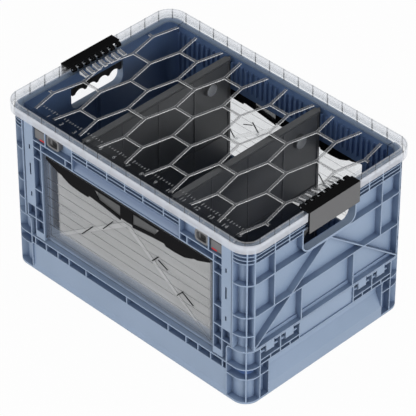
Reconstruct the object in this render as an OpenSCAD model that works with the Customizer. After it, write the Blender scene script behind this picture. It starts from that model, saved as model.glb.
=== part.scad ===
// Collapsible storage crate with a clear lid, two drop-down window doors,
// lid latches at the short ends, wall latches and two lift-out dividers.
// Millimetres, +Z up. The origin is the centre of the footprint, on the ground.
// The long side lies along X. The left end is at -X, the front is at -Y.

/* [Crate] */
// Length of the crate body, without the lid's overhang
crate_len = 600; // [540:5:660]
// Width of the crate body, without the lid's overhang
crate_wid = 408; // [384:2:440]
// Radius of the upright corners
corner_r = 30; // [26:1:34]
// Depth from the outer edges of the ribs to the inside of a wall
wall_depth = 16; // [14:0.5:18]
// Thickness of a moulded skin
skin_t = 2.5; // [2:0.25:3]
// Thickness of a moulded rib
rib_t = 2.5; // [2:0.25:3]

/* [Base tray] */
// Height of the base at its corners and short ends
base_h = 120.5; // [116:0.5:126]
// Height of the rail along each long side of the base
rail_h = 80; // [74:1:86]
// Height of the rail's open cells
shelf_drop = 17; // [14:1:20]
// Height of the sole band round the foot
sole_h = 12; // [9:1:14]
// Thickness of the floor
floor_t = 3; // [2.5:0.25:4]
// Height of the underside of the floor above the ground
floor_lift = 3; // [2:0.5:4]

/* [Walls] */
// Height of the walls' top edge above the ground
wall_top = 349; // [335:0.5:362]
// Width of the column of cells on each side of the window
frame_w = 21; // [17:0.5:25]
// Height of the band of wall above the window recess
window_drop = 62; // [54:1:74]
// Half width of a hand hole
hand_half = 65.5; // [54:0.5:78]
// Height of a hand hole
hand_h = 49; // [42:1:58]
// Pitch of the comb that holds the dividers
comb_pitch = 12.5; // [12:0.5:14]

/* [Lid] */
// How far the lid stands out past the crate body
lid_out = 8; // [6:0.5:10]
// Thickness of the lid's panel
lid_t = 2.5; // [2:0.25:3]
// Height of the lid's skirt
skirt_h = 18; // [16:0.5:20]
// Pitch of the honeycomb ribs along the lid
hex_pitch = 115; // [108:1:122]
// Width of a honeycomb rib
hex_rib = 5.5; // [4:0.25:7]

/* [Hidden] */
$fn = 48;

// Colours
blue = [0.50, 0.59, 0.73];
clear_tint = [0.80, 0.82, 0.85, 0.45];
black = [0.06, 0.06, 0.06];
grey = [0.45, 0.45, 0.46];
dark_grey = [0.20, 0.20, 0.21];
red = [0.82, 0.10, 0.16];
steel = [0.62, 0.63, 0.65];

// General values
over = 2;          // overrun of a cut past the face it opens
gap = 0.3;         // clearance between pieces that seat on each other
slide_gap = 0.5;   // clearance round a piece that slides
pin_fit = 0.05;    // radial clearance of a pin in its bore
half_len = crate_len / 2;
half_wid = crate_wid / 2;
rib_depth = wall_depth - skin_t;
floor_top = floor_lift + floor_t;
inner_y = half_wid - wall_depth;
inner_x = half_len - wall_depth;

// Base tray
post_long = corner_r + 20;      // reach of a base corner post along the long side
post_end = corner_r + 6.5;      // reach of a base corner post along the short end
post_rib_share = 0.71875;       // height of the posts' middle rib, as a share of the rail's
post_rib_z = rail_h * post_rib_share;
shelf_h = rail_h - shelf_drop;
arch_r = 9;            // radius at the inner top corner of a post
collar_set = 8;        // set-back of the collar under a post's top rib
collar_h = 9;
slot_depth = corner_r - 6;      // depth of the slot between a post's lower ribs
end_panel_share = 0.7255;       // half width of the plain panel in the short ends
end_panel_half = half_wid * end_panel_share;
panel_set = 3;         // how far the flat panels are set back
foot_w = 20;           // width of the ring that the base stands on
sole_edge = 4;         // height of the sole band's upright edge
slope_low_share = 0.2; // foot of the slope in the short ends, as a share of the base's height
slope_high_share = 0.44;        // top of that slope
slope_low = base_h * slope_low_share;
slope_high = base_h * slope_high_share;
rail_cell_shares = [0.425, 0.605, 0.724, 0.85, 0.966];
floor_rib_t = 2;
floor_rib_h = 1.5;
floor_rib_pitch = 40;
ear_t = 4;             // base ear that carries a long wall's hinge pin
ear_pin_r = 2;
ear_pin_set = 7.5;     // from the outer face to the middle of the pin
ear_pin_y = half_wid - ear_pin_set;
ear_rise = 6.5;
ear_pin_z = rail_h + ear_rise;
ear_r = 4;
pocket_share1 = 0.3407;         // inner edge of the hinge pockets, as a share of the half width
pocket_share2 = 0.5794;         // rib between the two pockets
pocket_y1 = half_wid * pocket_share1;
pocket_y2 = half_wid * pocket_share2;
pocket_h = 38.5;       // height of the pockets
pocket_shelf_h = 28.5; // height of the part of a pocket above its cross rib
pocket_low = base_h - pocket_h;
pocket_step = base_h - pocket_shelf_h;
tab_half = 10;         // half width of a hinge tab
tab_t = 5;             // thickness of a hinge tab
tab_pin_r = 2;
tab_barrel_r = 4.5;
tab_drop = 19.5;
tab_pin_z = base_h - tab_drop;

// Upper walls
upper_post_long = corner_r + 6.5;   // reach of an end wall's corner post along the long side
upper_post_end = 20;      // reach of that post along the short end
fin_t = 1.8;
foot_step = 3;            // step along the foot of an end wall
foot_step_h = 9;
fin_drop = 31.7;          // from the wall's top to the top of the lowest fin
fin_low = wall_top - fin_drop;
fin_pitch = 7.75;
fin_z = [for (i = [0 : 2]) fin_low + i * fin_pitch];
hand_set = 28;            // from the wall's top to the top of a hand hole
hand_top = wall_top - hand_set;
hand_low = hand_top - hand_h;
hand_r = 16;
end_rib_share = 0.5673;   // height of the rib across an end wall, as a share of the wall's top
end_rib_z = [hand_low - rib_t, wall_top * end_rib_share];
post_low_rib_share = 0.447;
post_low_rib_z = wall_top * post_low_rib_share;
column_share = 0.6652;          // upright rib beside the hand hole
lower_column_share = 0.325;     // upright rib under the hand hole
column_y = half_wid * column_share;
lower_column_y = half_wid * lower_column_share;
brace_t = 2.5;
rim_t = 3;                // lip round the hand hole
end_gap = 2.5;            // gap between a long wall and a corner post
strip_w = 21;             // flat strip at each end of a long wall
strip_t = 3;
long_set = 1.5;           // how far a long wall stands back from the posts
long_end = half_len - upper_post_long - end_gap;
strip_in = long_end - strip_w;
window_half = strip_in - frame_w - rib_t;
window_top = wall_top - window_drop;
ear_x = (window_half + strip_in + rib_t) / 2;
seat_z = rail_h + 2;      // lower edge of a long wall
hinge_block_h = 15;       // height of the blocks that hold the door's pins
column_rib_shares = [0.6929, 0.4214, 0.2622, 0.1592];
column_rib_z = concat([for (s = column_rib_shares) seat_z + s * (wall_top - seat_z)],
                      [seat_z + hinge_block_h]);
comb_depth = 6;
comb_t = 2.5;
comb_top_set = 11;        // from the wall's top down to the comb
comb_h = 48;
comb_high = wall_top - comb_top_set;
comb_low = comb_high - comb_h;
comb_foot_rise = 14;
comb_foot_h = 20;
comb_foot_low = seat_z + comb_foot_rise;
comb_foot_high = comb_foot_low + comb_foot_h;
land_depth = 10;          // depth of the recess that holds the door
land_side = 12.5;         // width of the land beside the window
land_top = 13;            // height of the land above the window
land_low = 36;            // height of the land below the window
hole_half = window_half - land_side;
hole_low = seat_z + land_low;
hole_high = window_top - land_top;
latch_cell_w = 104.7;     // length of the two latch cells together
latch_cell_in = strip_in - latch_cell_w;
latch_rail_drop = 43.7;   // from the wall's top to the rail under the latch cells
latch_rail_z = wall_top - latch_rail_drop;
latch_cell_drop = 12.5;
latch_cell_top = wall_top - latch_cell_drop;
channel_shares = [-1, -0.711, -0.336, 0, 0.336, 0.711, 1];

// Doors
door_gap = 3;
door_t = 2.5;
door_frame_w = 6;
door_head_w = 3;          // width of the frame along the door's top
door_frame_t = 7;
door_out = 2;             // how far the door's frame is set back from the wall's face
door_low = rail_h + 6;
door_pin_r = 2.5;
door_pin_rise = 4.5;
door_pin_z = door_low + door_pin_rise;
door_pin_y = half_wid - long_set - door_out - door_frame_t / 2;
door_pin_reach = 4;
door_rib_t = 1.2;
door_rib_pitch = 21.1;
door_rib_rise = 40.4;     // from the door's lower edge to its first rib
door_brace_w = 9;
door_brace_h = 1;
hook_shares = [0.54, 0.283];    // places of the hooks on a brace, from the middle
hook_w = 4;
hook_t = 1.5;
hook_reach = 5;

// Wall latches
latch_plate_set = 9;      // how far the plate reaches in past the window recess's end
latch_plate_side = 4;     // from the plate to the flat strip
latch_plate_in = window_half - latch_plate_set;
latch_plate_out = strip_in - latch_plate_side;
latch_plate_h = 24.3;
latch_plate_rise = 2.7;
latch_plate_low = latch_rail_z + latch_plate_rise;
latch_plate_high = latch_plate_low + latch_plate_h;
ring_set = 13.5;          // from the window recess's end to the finger ring
ring_w = 32;
ring_out = window_half - ring_set;
ring_in = ring_out - ring_w;
bridge_set = 11;
bridge_x = window_half - bridge_set;
bolt_reach = 9;           // how far the bolt enters the corner post
bolt_h = 12;
bolt_low = (latch_plate_low + latch_plate_high - bolt_h) / 2;
bolt_high = bolt_low + bolt_h;
bolt_t = 4.5;
bolt_back = half_wid - rib_depth + gap + gap;

// Dividers
divider_slots = [-10, 8];  // comb slots that the dividers stand in, from the middle
divider_x = [for (s = divider_slots) s * comb_pitch];
divider_t = 3;
divider_half = half_wid - wall_depth - 2;
flange_w = 13;
flange_t = 3;
divider_top = wall_top - 0.7;
divider_low = floor_top + floor_rib_h + gap;
ring_hole_set = 55;       // from the divider's rear edge to its finger hole
ring_hole_drop = 45.3;    // from the divider's top to its finger hole
ring_hole_y = divider_half - ring_hole_set;
ring_hole_z = divider_top - ring_hole_drop;
ring_hole_r = 12;
ring_wall = 2.5;
ring_len = 18;
divider_rib_t = 2;
divider_rib_h = 1.5;

// Lid
lid_low = wall_top + gap;
lid_plate_top = lid_low + lid_t;
lid_rise = 13.7;          // height of the rim above the walls
lid_top = lid_low + lid_rise;
skirt_t = 2.5;
skirt_low = lid_top - skirt_h;
ridge_out = 9;            // the ridge inside the rim's channel
ridge_in = 12;
band_w = 24;              // width of the rim round the panel
band_t = 2.5;
band_drop = 3;
gusset_pitch = 36;
gusset_t = 1.6;
hex_row = 62.5;
hex_link = 44;
hex_h = 1.5;

// Lid latches
latch_rise = 2;         // how far the latch stands above the rim
latch_top = lid_top + latch_rise;
flap_out = 3;           // how far the flap stands out past the lid's skirt
knuckle_r = 5;
knuckle_n = 8;
knuckle_side = 4.5;     // from the latch's end to its first finger
latch_half = hand_half - 2;
knuckle_w = (2 * (latch_half - knuckle_side) + slide_gap) / (2 * knuckle_n - 1) - slide_gap;
notch_half = latch_half + 1.5;
axis_set = 15;
axis_x = half_len - axis_set;
axis_z = latch_top - knuckle_r;
knuckle_foot = 27;      // reach of a lid knuckle's foot from the axis
latch_plate_t = 3;
flap_t = 3.5;
flap_h = 45.5;
flap_low = latch_top - flap_h;
latch_pin_r = 1.5;

// Hand grips
grip_half = hand_half - 3.5;
grip_t = 10;
grip_h = 18;
grip_low = hand_top - grip_h;
finger_n = 4;
finger_share = 0.468;   // pitch of the finger hollows, as a share of the grip's half width
finger_pitch = grip_half * finger_share;
finger_r = 14;

// Plan of the crate, set in by the amount given, with round corners
module plan(inset) {
    r = corner_r - inset;
    l = half_len - inset;
    w = half_wid - inset;
    square([2 * l, 2 * (w - r)], center = true);
    square([2 * (l - r), 2 * w], center = true);
    for (sx = [-1, 1], sy = [-1, 1])
        translate([sx * (l - r), sy * (w - r)]) circle(r);
}

module block(inset, z0, z1) {
    translate([0, 0, z0]) linear_extrude(z1 - z0) plan(inset);
}

// A box between two opposite corners
module box(a, b) {
    translate(a) cube(b - a);
}

// A box and its mirror image across X = 0
module pair_x(a, b) {
    box(a, b);
    mirror([1, 0, 0]) box(a, b);
}

// A box and its mirror image across Y = 0
module pair_y(a, b) {
    box(a, b);
    mirror([0, 1, 0]) box(a, b);
}

// A rod along X
module rod_x(x0, x1, y, z, r) {
    translate([x0, y, z]) rotate([0, 90, 0]) cylinder(h = x1 - x0, r = r);
}

// A rod along Y
module rod_y(y0, y1, x, z, r) {
    translate([x, y0, z]) rotate([-90, 0, 0]) cylinder(h = y1 - y0, r = r);
}

// A flat rib between two points of the YZ plane, as deep as asked along X
module yz_rib(p, q, t, x0, x1) {
    d = q - p;
    translate([x0, p[0], p[1]]) rotate([atan2(d[1], d[0]), 0, 0])
        translate([0, 0, -t / 2]) cube([x1 - x0, norm(d), t]);
}

// Ribs of one base corner post, drawn at the -X, -Y corner
module base_post_ribs() {
    x0 = -half_len;
    y0 = -half_wid;
    x1 = x0 + post_long;
    box([x0, y0, base_h - rib_t], [x1, y0 + post_end, base_h]);
    box([x0, y0, rail_h - rib_t], [x1, y0 + post_end, rail_h]);
    box([x0, y0, post_rib_z - rib_t], [x1, y0 + post_end, post_rib_z]);
    box([x0, y0, 0], [x1, y0 + post_end, sole_edge]);
    box([x1 - rib_t, y0, 0], [x1, y0 + corner_r, base_h]);
    box([x0, y0 + post_end - rib_t, 0], [x0 + corner_r, y0 + post_end, base_h]);
    translate([x0 + corner_r, y0 + corner_r, 0]) rotate([0, 0, 225])
        translate([0, -rib_t / 2, 0]) cube([corner_r, rib_t, base_h]);
    // collar under the top rib
    intersection() {
        block(collar_set, base_h - collar_h, base_h);
        box([x0, y0, 0], [x1, y0 + corner_r, base_h]);
    }
    // rib round the arch
    intersection() {
        translate([x1 - arch_r, y0 + corner_r, base_h - arch_r]) rotate([90, 0, 0])
            linear_extrude(corner_r) difference() {
                circle(arch_r);
                circle(arch_r - rib_t);
            }
        box([x1 - arch_r, y0, base_h - arch_r], [x1, y0 + corner_r, base_h]);
    }
}

// Corner of a base post that the arch leaves open, drawn at the -X, -Y post
module arch_cut() {
    x = -half_len + post_long;
    translate([x - arch_r, -half_wid + corner_r, base_h - arch_r]) rotate([90, 0, 0])
        linear_extrude(corner_r + over) difference() {
            square(arch_r + over);
            circle(arch_r);
        }
}

// Deep slot between the two lower ribs of a base post, drawn at the -X, -Y post
module slot_walls() {
    intersection() {
        block(rib_depth, post_rib_z - rib_t, rail_h);
        box([-half_len, -half_wid, 0], [-half_len + post_long, -half_wid + post_end, base_h]);
    }
}

module slot_cut() {
    difference() {
        intersection() {
            block(rib_depth - over, post_rib_z, rail_h - rib_t);
            box([-half_len, -half_wid, 0],
                [-half_len + post_long - rib_t, -half_wid + post_end - rib_t, base_h]);
        }
        block(slot_depth, 0, base_h);
        translate([-half_len + corner_r, -half_wid + corner_r, 0]) rotate([0, 0, 225])
            translate([0, -rib_t / 2, 0]) cube([corner_r, rib_t, base_h]);
    }
}

// Sole band and set-back panel of one long side of the base
module base_long_side() {
    y0 = -half_wid;
    half = half_len - post_long;
    box([-half, y0, 0], [half, y0 + rib_depth + skin_t, sole_edge]);
    box([-half, y0 + panel_set, 0], [half, y0 + panel_set + skin_t, shelf_h]);
    translate([-half, 0, 0]) rotate([90, 0, 90]) linear_extrude(2 * half)
        polygon([[y0, sole_edge], [y0 + panel_set + skin_t, sole_edge],
                 [y0 + panel_set + skin_t, sole_h], [y0 + panel_set, sole_h]]);
    box([-half, y0, shelf_h - rib_t], [half, y0 + wall_depth, shelf_h]);
    box([-half, y0, rail_h - rib_t], [half, y0 + wall_depth, rail_h]);
    box([-rib_t / 2, y0, shelf_h - rib_t], [rib_t / 2, y0 + wall_depth, rail_h]);
    for (s = rail_cell_shares)
        pair_x([s * half - rib_t / 2, y0, shelf_h - rib_t],
               [s * half + rib_t / 2, y0 + wall_depth, rail_h]);
}

// Sole band, panel and hinge pockets of one short end of the base
module base_short_end() {
    x0 = -half_len;
    half = half_wid - post_end;
    box([x0, -half, 0], [x0 + wall_depth, half, sole_edge]);
    pair_y([x0, end_panel_half - rib_t, 0], [x0 + wall_depth, end_panel_half, pocket_low]);
    pair_y([x0, end_panel_half - rib_t, post_rib_z - rib_t], [x0 + wall_depth, half, post_rib_z]);
    // upright foot, and a slope from it up to the deep panel
    translate([0, end_panel_half, 0]) rotate([90, 0, 0]) linear_extrude(2 * end_panel_half)
        polygon([[x0, 0], [x0 + skin_t, 0], [x0 + skin_t, slope_low - skin_t / 2],
                 [x0 + wall_depth, slope_high - skin_t], [x0 + wall_depth, slope_high],
                 [x0 + rib_depth, slope_high], [x0, slope_low]]);
    box([x0 + panel_set, -pocket_y1, pocket_low - rib_t], [x0 + panel_set + skin_t, pocket_y1, base_h]);
    box([x0, -half, base_h - rib_t], [x0 + wall_depth, half, base_h]);
    box([x0, -half, pocket_low - rib_t], [x0 + wall_depth, half, pocket_low]);
    pair_y([x0, pocket_y1, pocket_step - rib_t], [x0 + wall_depth, half, pocket_step]);
    pair_y([x0, pocket_y1 - rib_t / 2, pocket_low - rib_t],
           [x0 + wall_depth, pocket_y1 + rib_t / 2, base_h]);
    pair_y([x0, pocket_y2 - rib_t / 2, pocket_low - rib_t],
           [x0 + wall_depth, pocket_y2 + rib_t / 2, base_h]);
    for (y = tab_places)
        pair_y([x0, y - rib_t / 2, pocket_low - rib_t], [x0 + rib_depth, y + rib_t / 2, pocket_step]);
}

// Middle of each hinge tab on the +Y side
tab_places = [(pocket_y1 + pocket_y2) / 2, (pocket_y2 + half_wid - post_end) / 2];

// Slot in the base's top rib where a hinge tab comes down
module tab_slots() {
    for (y = tab_places)
        pair_y([-half_len - over, y - tab_half - slide_gap, pocket_step + over],
               [-half_len + tab_t + slide_gap, y + tab_half + slide_gap, base_h + over]);
}

// Ears that carry the pins of the long walls
module base_ears() {
    for (sx = [-1, 1]) {
        translate([sx * ear_x, 0, 0]) {
            box([-ear_t / 2, -ear_pin_y - ear_r, rail_h - rib_t],
                [ear_t / 2, -ear_pin_y + ear_r, ear_pin_z]);
            rod_x(-ear_t / 2, ear_t / 2, -ear_pin_y, ear_pin_z, ear_r);
        }
    }
}

module base_tray() {
    color(blue) difference() {
        union() {
            difference() {
                intersection() {
                    block(0, 0, base_h);
                    union() {
                        block(rib_depth, 0, base_h);
                        for (sx = [0, 1], sy = [0, 1])
                            mirror([sx, 0, 0]) mirror([0, sy, 0]) base_post_ribs();
                        for (sy = [0, 1]) mirror([0, sy, 0]) base_long_side();
                        for (sx = [0, 1]) mirror([sx, 0, 0]) base_short_end();
                    }
                }
                block(wall_depth, floor_top, base_h + over);
                for (sx = [0, 1], sy = [0, 1]) mirror([sx, 0, 0]) mirror([0, sy, 0]) arch_cut();
                block(foot_w, -over, floor_lift);
                box([-half_len + post_long, -half_wid - over, rail_h],
                    [half_len - post_long, half_wid + over, base_h + over]);
                for (sx = [0, 1]) mirror([sx, 0, 0]) tab_slots();
            }
            for (i = [-floor_rib_n : floor_rib_n])
                box([-inner_x + corner_r, i * floor_rib_pitch - floor_rib_t / 2, floor_lift],
                    [inner_x - corner_r, i * floor_rib_pitch + floor_rib_t / 2, floor_top + floor_rib_h]);
            for (sy = [0, 1]) mirror([0, sy, 0]) base_ears();
            for (sx = [0, 1], sy = [0, 1]) mirror([sx, 0, 0]) mirror([0, sy, 0]) slot_walls();
        }
        for (sx = [0, 1], sy = [0, 1]) mirror([sx, 0, 0]) mirror([0, sy, 0]) slot_cut();
        block(slot_depth + over, floor_top + over, base_h + over);
        for (sx = [-1, 1], sy = [-1, 1])
            rod_x(sx * ear_x - ear_t, sx * ear_x + ear_t, sy * ear_pin_y, ear_pin_z,
                  ear_pin_r + pin_fit);
        for (sx = [-1, 1])
            rod_y(-tab_pin_end - gap, tab_pin_end + gap, sx * tab_pin_x, tab_pin_z,
                  tab_pin_r + pin_fit);
    }
}

floor_rib_n = floor(inner_y / floor_rib_pitch - 0.5);

// Place and reach of the short ends' hinge pins
tab_pin_x = half_len - tab_barrel_r - panel_set;
tab_pin_end = half_wid - post_end - rib_t - 1;
tab_pin_start = pocket_y1 - rib_t / 2;

// Block with a hand hole's outline, along X from the origin
module hand_hole(grow, length) {
    low = hand_low - grow;
    half = hand_half + grow;
    r = hand_r + grow;
    rotate([90, 0, 90]) linear_extrude(length) {
        translate([-half, low + r]) square([2 * half, hand_top + grow - low - r]);
        translate([-half + r, low]) square([2 * (half - r), r]);
        for (sy = [-1, 1]) translate([sy * (half - r), low + r]) circle(r);
    }
}

// Ribs of an end wall, drawn at the -X end
module end_wall_ribs(z0) {
    x0 = -half_len;
    x1 = x0 + upper_post_long;
    xc = x0 + corner_r;
    for (z = fin_z)
        box([x0, -half_wid, z - fin_t], [x1, half_wid, z]);
    for (z = end_rib_z)
        box([x0, -half_wid, z - rib_t], [x1, half_wid, z]);
    box([x0, -half_wid + upper_post_end, z0], [xc, half_wid - upper_post_end, z0 + rib_t]);
    box([x0 + rib_depth - foot_step, -half_wid + upper_post_end, z0],
        [xc, half_wid - upper_post_end, z0 + foot_step_h]);
    box([x0, -half_wid, wall_top - rib_t], [x1, half_wid, wall_top]);
    pair_y([x0, half_wid - upper_post_end - rib_t, post_low_rib_z - rib_t], [x1, half_wid, post_low_rib_z]);
    pair_y([x1 - rib_t, inner_y, z0], [x1, half_wid, wall_top]);
    pair_y([x0, half_wid - upper_post_end - rib_t, z0], [xc, half_wid - upper_post_end, wall_top]);
    pair_y([x0, column_y - rib_t / 2, end_rib_z[1] - rib_t],
           [x0 + wall_depth, column_y + rib_t / 2, wall_top]);
    pair_y([x0, (column_y + hand_half) / 2 - rib_t / 2, fin_z[0] - fin_t],
           [x0 + wall_depth, (column_y + hand_half) / 2 + rib_t / 2, wall_top]);
    pair_y([x0, lower_column_y - rib_t / 2, z0],
           [x0 + wall_depth, lower_column_y + rib_t / 2, end_rib_z[1]]);
    for (sy = [-1, 1]) {
        yz_rib([0, hand_low - rim_t / 2], [sy * (half_wid - upper_post_end), z0 + rib_t], brace_t,
               x0, xc);
        translate([xc, sy * (half_wid - corner_r), z0]) rotate([0, 0, 180 - sy * 45])
            translate([0, -rib_t / 2, 0]) cube([corner_r, rib_t, wall_top - z0]);
    }
    translate([x0, 0, 0]) hand_hole(rim_t, wall_depth);
}

// Hinge tabs that hang from an end wall into the base's pockets
module end_wall_tabs(z0) {
    x0 = -half_len;
    for (y = tab_places, sy = [-1, 1]) translate([0, sy * y, 0]) {
        box([x0 + panel_set / 2, -tab_half, tab_pin_z], [x0 + tab_t, tab_half, z0 + rib_t]);
        rod_y(-tab_half, tab_half, -tab_pin_x, tab_pin_z, tab_barrel_r);
    }
}

// End wall at the -X end, with both corner posts
module end_wall() {
    z0 = base_h + gap + gap;
    x0 = -half_len;
    x1 = x0 + upper_post_long;
    color(blue) difference() {
        union() {
            difference() {
                intersection() {
                    block(0, z0, wall_top);
                    box([x0, -half_wid, z0], [x1, half_wid, wall_top]);
                    union() {
                        block(rib_depth, z0, wall_top);
                        end_wall_ribs(z0);
                    }
                }
                block(wall_depth, z0 - over, wall_top + over);
                translate([x0 - over, 0, 0]) hand_hole(0, wall_depth + over + over);
            }
            end_wall_tabs(z0);
            for (sy = [-1, 1])
                box([x0 + rib_depth, sy * stiffener_y - rib_t / 2, z0],
                    [x0 + wall_depth + stiffener_h, sy * stiffener_y + rib_t / 2, hand_low - rim_t]);
        }
        for (sy = [0, 1]) mirror([0, sy, 0])
            box([x1 + end_gap - bolt_reach - slide_gap, bolt_back - slide_gap, bolt_low - slide_gap],
                [x1 + over, bolt_back + bolt_t + slide_gap, bolt_high + slide_gap]);
        rod_y(-tab_pin_end - over, tab_pin_end + over, -tab_pin_x, tab_pin_z, tab_pin_r + pin_fit);
    }
}

// Pair of upright stiffeners inside each end wall
stiffener_y = 5;
stiffener_h = 3;

// Ribs of the front wall's frame, from the outer face to the skin
module long_wall_frame() {
    y0 = -half_wid + long_set;
    y1 = -half_wid + rib_depth;
    // columns of cells and flat end strips
    pair_x([window_half, y0, seat_z], [window_half + rib_t, y1, latch_rail_z]);
    pair_x([strip_in - rib_t, y0, seat_z], [strip_in, y1, wall_top]);
    for (z = column_rib_z)
        pair_x([window_half, y0, z - rib_t], [strip_in, y1, z]);
    pair_x([strip_in, y0, column_rib_z[2]], [long_end, y0 + strip_t, wall_top]);
    pair_x([long_end - rib_t, y0, base_h + gap], [long_end, y1, wall_top]);
    for (z = [column_rib_z[2], column_rib_z[3]])
        pair_x([strip_in, y0, z - rib_t], [long_end, y1, z]);
    // top edge, fins, window head and latch rail
    box([-long_end, y0, wall_top - rib_t], [long_end, y1, wall_top]);
    for (z = fin_z)
        box([-latch_cell_in, y0, z - fin_t], [latch_cell_in, y1, z]);
    pair_x([latch_cell_in, y0, latch_cell_top], [strip_in, y1, latch_cell_top + fin_t]);
    for (s = channel_shares)
        box([s * latch_cell_in - rib_t / 2, y0, fin_z[0] - fin_t],
            [s * latch_cell_in + rib_t / 2, y1, wall_top]);
    pair_x([latch_cell_in - rib_t / 2, y0, window_top], [latch_cell_in + rib_t / 2, y1, wall_top]);
    box([-strip_in, y0, window_top], [strip_in, y1, window_top + rib_t]);
    pair_x([latch_cell_in, y0, latch_rail_z - rib_t], [strip_in, y1, latch_rail_z]);
    pair_x([latch_cell_in + post_rail_step, y0, window_top],
           [latch_cell_in + post_rail_step + rib_t, y1, latch_rail_z]);
    // bridge between the two halves of a latch
    pair_x([bridge_x - rib_t / 2, y0, latch_rail_z], [bridge_x + rib_t / 2, y0 + rib_t, latch_cell_top]);
    // sloping back of the long channel
    translate([-latch_cell_in, 0, 0]) rotate([90, 0, 90]) linear_extrude(2 * latch_cell_in)
        polygon([[y1, window_top], [y0 + rib_t, window_top + rib_t], [y1 - rib_t, channel_mid],
                 [y0 + rib_t, fin_z[0] - fin_t], [y1, fin_z[0] - fin_t]]);
    // hinge blocks at the lower corners
    pair_x([window_half, y0, seat_z], [strip_in, y1, column_rib_z[4]]);
}

post_rail_step = 17;
channel_mid = (window_top + fin_z[0]) / 2;

// Small upright slots in the flat end strips
strip_slot_shares = [0.811, 0.6676, 0.5043];
strip_slot_z = [for (s = strip_slot_shares) s * wall_top];
strip_slot_short = 10;
strip_slot_long = 26;
strip_slot_h = [strip_slot_short, strip_slot_long, strip_slot_short];
strip_slot_w = 3.5;
strip_slot_in = 8;        // from the strip's inner edge to the middle of a slot

// Combs on the inside of a long wall
module long_wall_combs() {
    y1 = -half_wid + wall_depth;
    foot_end = half_len - post_long - gap - comb_t;
    for (i = [0 : floor((long_end - comb_t) / comb_pitch - 0.5)]) {
        x = (i + 0.5) * comb_pitch;
        low = x > window_half ? max(comb_foot_high, base_h) + over : comb_low;
        pair_x([x - comb_t / 2, y1 - skin_t, low], [x + comb_t / 2, y1 + comb_depth, comb_high]);
        if (x < foot_end)
            pair_x([x - comb_t / 2, y1 - skin_t, comb_foot_low],
                   [x + comb_t / 2, y1 + comb_depth, comb_foot_high]);
    }
}

// Front wall; the rear wall is the same moulding turned half round
module long_wall() {
    y0 = -half_wid + long_set;
    y1 = -half_wid + rib_depth;
    y2 = -half_wid + wall_depth;
    color(blue) difference() {
        union() {
            box([-long_end, y1, base_h + gap], [long_end, y2, wall_top]);
            box([-half_len + post_long + gap, y1, seat_z], [half_len - post_long - gap, y2, base_h + over]);
            long_wall_frame();
            // land that the door closes on
            difference() {
                box([-window_half, y0 + land_depth, seat_z], [window_half, y2, window_top]);
                box([-hole_half, y0, hole_low], [hole_half, y2 + over, hole_high]);
            }
            long_wall_combs();
        }
        // lower corners pass between the base's posts
        pair_x([half_len - post_long - gap, y0 - over, seat_z - over], [half_len, y2 + over, base_h + gap]);
        // window
        box([-hole_half, y0 - over, hole_low], [hole_half, y2 + over, hole_high]);
        // notches for the base's ears
        for (sx = [-1, 1])
            box([sx * ear_x - ear_t / 2 - slide_gap, -ear_pin_y - ear_r - slide_gap, seat_z - over],
                [sx * ear_x + ear_t / 2 + slide_gap, -ear_pin_y + ear_r + slide_gap,
                 ear_pin_z + ear_r + slide_gap]);
        // bores for the wall's hinge pins and the door's stub pins
        for (sx = [-1, 1]) {
            rod_x(sx * ear_x - ear_pin_len / 2 - gap, sx * ear_x + ear_pin_len / 2 + gap,
                  -ear_pin_y, ear_pin_z, ear_pin_r + pin_fit);
            rod_x(sx * window_half - door_pin_reach - gap, sx * window_half + door_pin_reach + gap,
                  -door_pin_y, door_pin_z, door_pin_r + pin_fit);
        }
        // passage for the latch bolts
        for (s = [0, 1]) mirror([s, 0, 0])
            box([strip_in - rib_t - over, -bolt_back - bolt_t - slide_gap, bolt_low - slide_gap],
                [long_end + over, -bolt_back + slide_gap, bolt_high + slide_gap]);
        // slots in the end strips
        for (i = [0 : 2])
            pair_x([strip_in + strip_slot_in - strip_slot_w / 2, y0 - over, strip_slot_z[i] - strip_slot_h[i] / 2],
                   [strip_in + strip_slot_in + strip_slot_w / 2, y0 + strip_t + over,
                    strip_slot_z[i] + strip_slot_h[i] / 2]);
    }
}

ear_pin_len = 14;

module long_pins() {
    color(steel) for (sx = [-1, 1])
        rod_x(sx * ear_x - ear_pin_len / 2, sx * ear_x + ear_pin_len / 2,
              -ear_pin_y, ear_pin_z, ear_pin_r);
}

module end_pins() {
    color(steel) for (sy = [-1, 1])
        rod_y(sy > 0 ? tab_pin_start : -tab_pin_end, sy > 0 ? tab_pin_end : -tab_pin_start,
              -tab_pin_x, tab_pin_z, tab_pin_r);
}

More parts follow.
